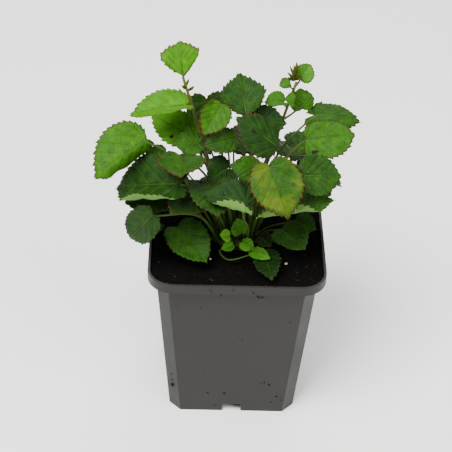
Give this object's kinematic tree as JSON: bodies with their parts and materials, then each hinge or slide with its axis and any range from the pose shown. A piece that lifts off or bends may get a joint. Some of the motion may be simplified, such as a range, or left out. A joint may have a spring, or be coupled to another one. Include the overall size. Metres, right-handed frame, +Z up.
{
  "type": "potted bellflower plant",
  "caption": "Young leafy bellflower out of flower, toothed heart-shaped leaves on thin stalks in a mound, in a square grey nursery pot of dark peat mix.",
  "frame": {"origin": "on the surface the pot stands on, under the middle of the whole object's width and depth; the pot's own axis is 5 mm to +X and 1.7 mm to -Y of it", "axes": "+Z up; the pot's four sides face +X, -X, +Y and -Y, and -Y is the front, with the tall leaf on the -X side"},
  "size_m": [0.1308, 0.0971, 0.2026],
  "materials": {
    "pot_plastic": "mid grey recycled polypropylene, satin, lighter along the corners, with specks of soil",
    "potting_mix": "loose moist peat, near black, with brown fibres and orange-brown bits",
    "root_crown": "dull green-brown, matt",
    "stem": "green-brown, finely hairy",
    "leaf": "mid to dark green, satin, sunk veins, toothed red-brown margin, paler underneath",
    "young_leaf": "bright yellow-green, satin, finely toothed",
    "bud": "red-brown and green, hairy"
  },
  "bodies": {
    "root": {"bud_right": "bud", "leaf_back_1": "leaf", "leaf_back_2": "leaf", "leaf_back_3": "leaf", "leaf_back_4": "leaf", "leaf_back_5": "leaf", "leaf_back_6": "leaf", "leaf_back_7": "leaf", "leaf_back_8": "leaf", "leaf_back_9": "leaf", "leaf_back_low_1": "leaf", "leaf_back_low_2": "leaf", "leaf_back_low_3": "leaf", "leaf_centre_oval": "leaf", "leaf_flag": "leaf", "leaf_front_big": "leaf", "leaf_front_inner": "leaf", "leaf_front_lobe": "leaf", "leaf_front_rolled": "leaf", "leaf_front_skirt": "leaf", "leaf_left_broad": "leaf", "leaf_left_far": "leaf", "leaf_left_grey": "leaf", "leaf_left_hanging": "leaf", "leaf_left_heart": "leaf", "leaf_left_high": "leaf", "leaf_left_skirt": "leaf", "leaf_left_small": "leaf", "leaf_left_under": "leaf", "leaf_left_upper": "leaf", "leaf_right_dark": "leaf", "leaf_right_high": "leaf", "leaf_right_light": "leaf", "leaf_right_mid": "leaf", "leaf_right_pale": "leaf", "leaf_right_rolled": "leaf", "leaf_runner": "young_leaf", "leaf_shoot_right_1": "young_leaf", "leaf_shoot_right_2": "young_leaf", "leaf_shoot_right_3": "young_leaf", "leaf_shoot_right_4": "young_leaf", "leaf_soil_dark": "leaf", "leaf_soil_edge": "leaf", "leaf_soil_front": "leaf", "leaf_soil_left": "leaf", "leaf_soil_right": "leaf", "leaf_top_cleft": "leaf", "leaf_top_dark": "leaf", "leaf_top_holed": "leaf", "leaf_top_pale": "leaf", "leaf_top_upright": "leaf", "leaf_young_1": "young_leaf", "leaf_young_2": "young_leaf", "leaf_young_3": "young_leaf", "leaf_young_4": "young_leaf", "pot": "pot_plastic", "potting_mix": "potting_mix", "root_crown": "root_crown", "stem_left": "stem", "stem_right": "stem"}
  },
  "joints": []
}
